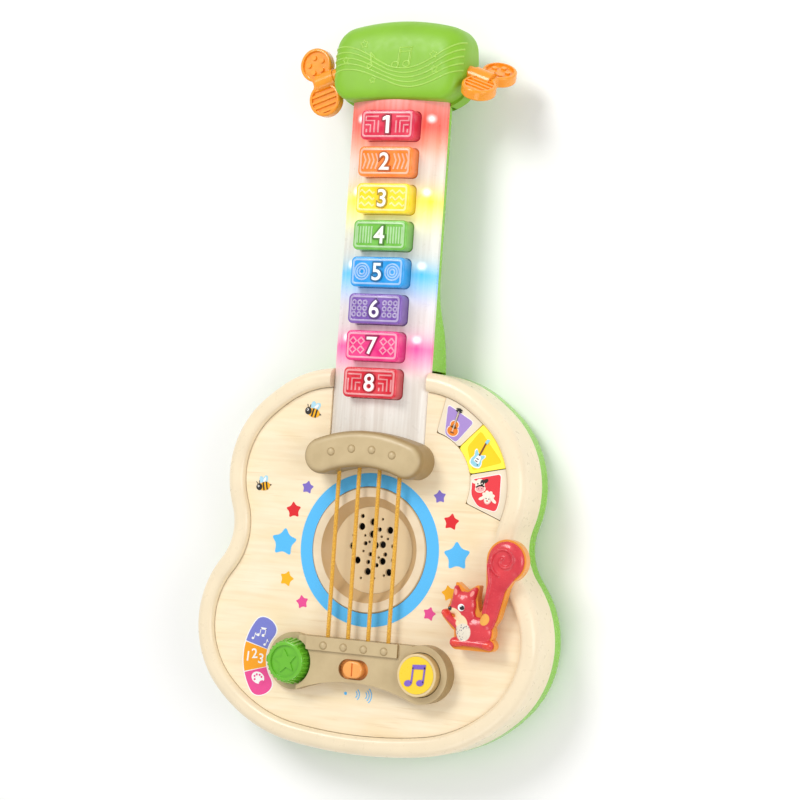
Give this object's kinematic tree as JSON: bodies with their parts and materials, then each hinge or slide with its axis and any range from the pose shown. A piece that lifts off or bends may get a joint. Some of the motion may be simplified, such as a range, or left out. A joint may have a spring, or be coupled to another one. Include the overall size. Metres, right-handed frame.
{
  "type": "toy electric guitar",
  "caption": "Toy electric guitar with light-up piano keys on its neck, plucked elastic strings, a mode knob, volume slider, push buttons, a swinging lever and turning pegs.",
  "frame": {"origin": "on the flat back, directly behind the centre of the sound hole", "axes": "+X across the body to the lever's side, +Y from the body along the neck to the head, +Z out of the face"},
  "size_m": [0.2174, 0.4216, 0.0597],
  "materials": {
    "cream_plastic": "soft gloss moulding",
    "birch_panel": "printed birch veneer, satin",
    "lime_plastic": "glossy moulding",
    "head_green": "glossy moulding",
    "pearl_light_cover": "frosted translucent moulding",
    "key_crimson": "translucent tinted moulding",
    "key_orange": "translucent tinted moulding",
    "key_yellow": "translucent tinted moulding",
    "key_green": "translucent tinted moulding",
    "key_blue": "translucent tinted moulding",
    "key_purple": "translucent tinted moulding",
    "key_magenta": "translucent tinted moulding",
    "key_red": "translucent tinted moulding",
    "khaki_plastic": "satin moulding",
    "bezel_cream": "satin moulding",
    "string_cord": "twisted elastic cord",
    "orange_plastic": "glossy moulding",
    "lever_orange": "glossy moulding",
    "squirrel_coral": "glossy moulding",
    "knob_green": "glossy translucent moulding",
    "button_yellow": "glossy moulding",
    "button_cream": "satin moulding",
    "circuit_board": "solder mask",
    "silicone": "matt silicone",
    "led_lens": "clear lens",
    "switch_black": "moulded",
    "plated_steel": "zinc plated",
    "battery_wrap": "plain wrapped cell"
  },
  "bodies": {
    "housing": {"body_frame": "cream_plastic", "front_panel": "birch_panel", "back_shell": "lime_plastic", "neck_light_cover": "pearl_light_cover", "key_dome_mat": "silicone", "neck_circuit_board": "circuit_board", "neck_leds": "led_lens", "head_front": "head_green", "head_back": "head_green", "head_screws": "plated_steel", "nut_cover": "khaki_plastic", "bridge_cover": "khaki_plastic", "string_1": "string_cord", "string_2": "string_cord", "string_3": "string_cord", "string_4": "string_cord", "string_crimps": "plated_steel", "speaker_bezel": "bezel_cream", "speaker_grille": "bezel_cream", "speaker_basket": "plated_steel", "speaker_cone": "switch_black", "speaker_magnet": "plated_steel", "rotary_switch": "switch_black", "slide_switch": "switch_black", "music_button_switch": "switch_black", "fan_button_board": "circuit_board", "fan_button_switches": "switch_black", "lever_spring": "plated_steel", "main_circuit_board": "circuit_board", "battery_box": "switch_black", "batteries": "battery_wrap", "battery_contacts": "plated_steel", "battery_door": "lime_plastic", "battery_door_screw": "plated_steel", "body_screws": "plated_steel"},
    "key_1": {"key_1": "key_crimson"},
    "key_2": {"key_2": "key_orange"},
    "key_3": {"key_3": "key_yellow"},
    "key_4": {"key_4": "key_green"},
    "key_5": {"key_5": "key_blue"},
    "key_6": {"key_6": "key_purple"},
    "key_7": {"key_7": "key_magenta"},
    "key_8": {"key_8": "key_red"},
    "mode_knob": {"mode_knob": "knob_green"},
    "volume_slider": {"volume_slider": "orange_plastic"},
    "music_button": {"music_button": "khaki_plastic", "music_button_disc": "button_yellow"},
    "style_button_acoustic": {"style_button_acoustic": "button_cream"},
    "style_button_electric": {"style_button_electric": "button_cream"},
    "style_button_animals": {"style_button_animals": "button_cream"},
    "squirrel_lever": {"squirrel_lever": "lever_orange", "squirrel_figure": "squirrel_coral", "lever_clip": "plated_steel"},
    "tuning_peg_left": {"tuning_peg_left": "orange_plastic"},
    "tuning_peg_right": {"tuning_peg_right": "orange_plastic"}
  },
  "joints": [
    {"name": "key_1_press", "type": "slide", "parent": "housing", "child": "key_1", "axis": [0, 0, -1], "range_m": [0, 0.002], "stiffness_N_per_m": 250, "springref_m": -0.0012},
    {"name": "key_2_press", "type": "slide", "parent": "housing", "child": "key_2", "axis": [0, 0, -1], "range_m": [0, 0.002], "stiffness_N_per_m": 250, "springref_m": -0.0012},
    {"name": "key_3_press", "type": "slide", "parent": "housing", "child": "key_3", "axis": [0, 0, -1], "range_m": [0, 0.002], "stiffness_N_per_m": 250, "springref_m": -0.0012},
    {"name": "key_4_press", "type": "slide", "parent": "housing", "child": "key_4", "axis": [0, 0, -1], "range_m": [0, 0.002], "stiffness_N_per_m": 250, "springref_m": -0.0012},
    {"name": "key_5_press", "type": "slide", "parent": "housing", "child": "key_5", "axis": [0, 0, -1], "range_m": [0, 0.002], "stiffness_N_per_m": 250, "springref_m": -0.0012},
    {"name": "key_6_press", "type": "slide", "parent": "housing", "child": "key_6", "axis": [0, 0, -1], "range_m": [0, 0.002], "stiffness_N_per_m": 250, "springref_m": -0.0012},
    {"name": "key_7_press", "type": "slide", "parent": "housing", "child": "key_7", "axis": [0, 0, -1], "range_m": [0, 0.002], "stiffness_N_per_m": 250, "springref_m": -0.0012},
    {"name": "key_8_press", "type": "slide", "parent": "housing", "child": "key_8", "axis": [0, 0, -1], "range_m": [0, 0.002], "stiffness_N_per_m": 250, "springref_m": -0.0012},
    {"name": "music_button_press", "type": "slide", "parent": "housing", "child": "music_button", "axis": [0, 0, -1], "range_m": [0, 0.0025], "stiffness_N_per_m": 250, "springref_m": -0.0012},
    {"name": "style_button_acoustic_press", "type": "slide", "parent": "housing", "child": "style_button_acoustic", "axis": [0, 0, -1], "range_m": [0, 0.0012], "stiffness_N_per_m": 300, "springref_m": -0.001},
    {"name": "style_button_electric_press", "type": "slide", "parent": "housing", "child": "style_button_electric", "axis": [0, 0, -1], "range_m": [0, 0.0012], "stiffness_N_per_m": 300, "springref_m": -0.001},
    {"name": "style_button_animals_press", "type": "slide", "parent": "housing", "child": "style_button_animals", "axis": [0, 0, -1], "range_m": [0, 0.0012], "stiffness_N_per_m": 300, "springref_m": -0.001},
    {"name": "mode_knob_turn", "type": "hinge", "parent": "housing", "child": "mode_knob", "pos_m": [-0.042, -0.067, 0.045], "axis": [0, 0, 1], "range_deg": [-29, 29]},
    {"name": "volume_slide", "type": "slide", "parent": "housing", "child": "volume_slider", "axis": [1, 0, 0], "range_m": [-0.0028, 0.0028]},
    {"name": "squirrel_lever_swing", "type": "hinge", "parent": "housing", "child": "squirrel_lever", "pos_m": [0.072, -0.04, 0.045], "axis": [0, 0, 1], "range_deg": [-10, 10], "stiffness_Nm_per_rad": 0.25},
    {"name": "tuning_peg_left_turn", "type": "hinge", "parent": "housing", "child": "tuning_peg_left", "pos_m": [-0.0534, 0.2698, 0.036], "axis": [-0.9397, -0.342, 0], "continuous": true},
    {"name": "tuning_peg_right_turn", "type": "hinge", "parent": "housing", "child": "tuning_peg_right", "pos_m": [0.0534, 0.2698, 0.036], "axis": [0.9397, -0.342, 0], "continuous": true}
  ]
}
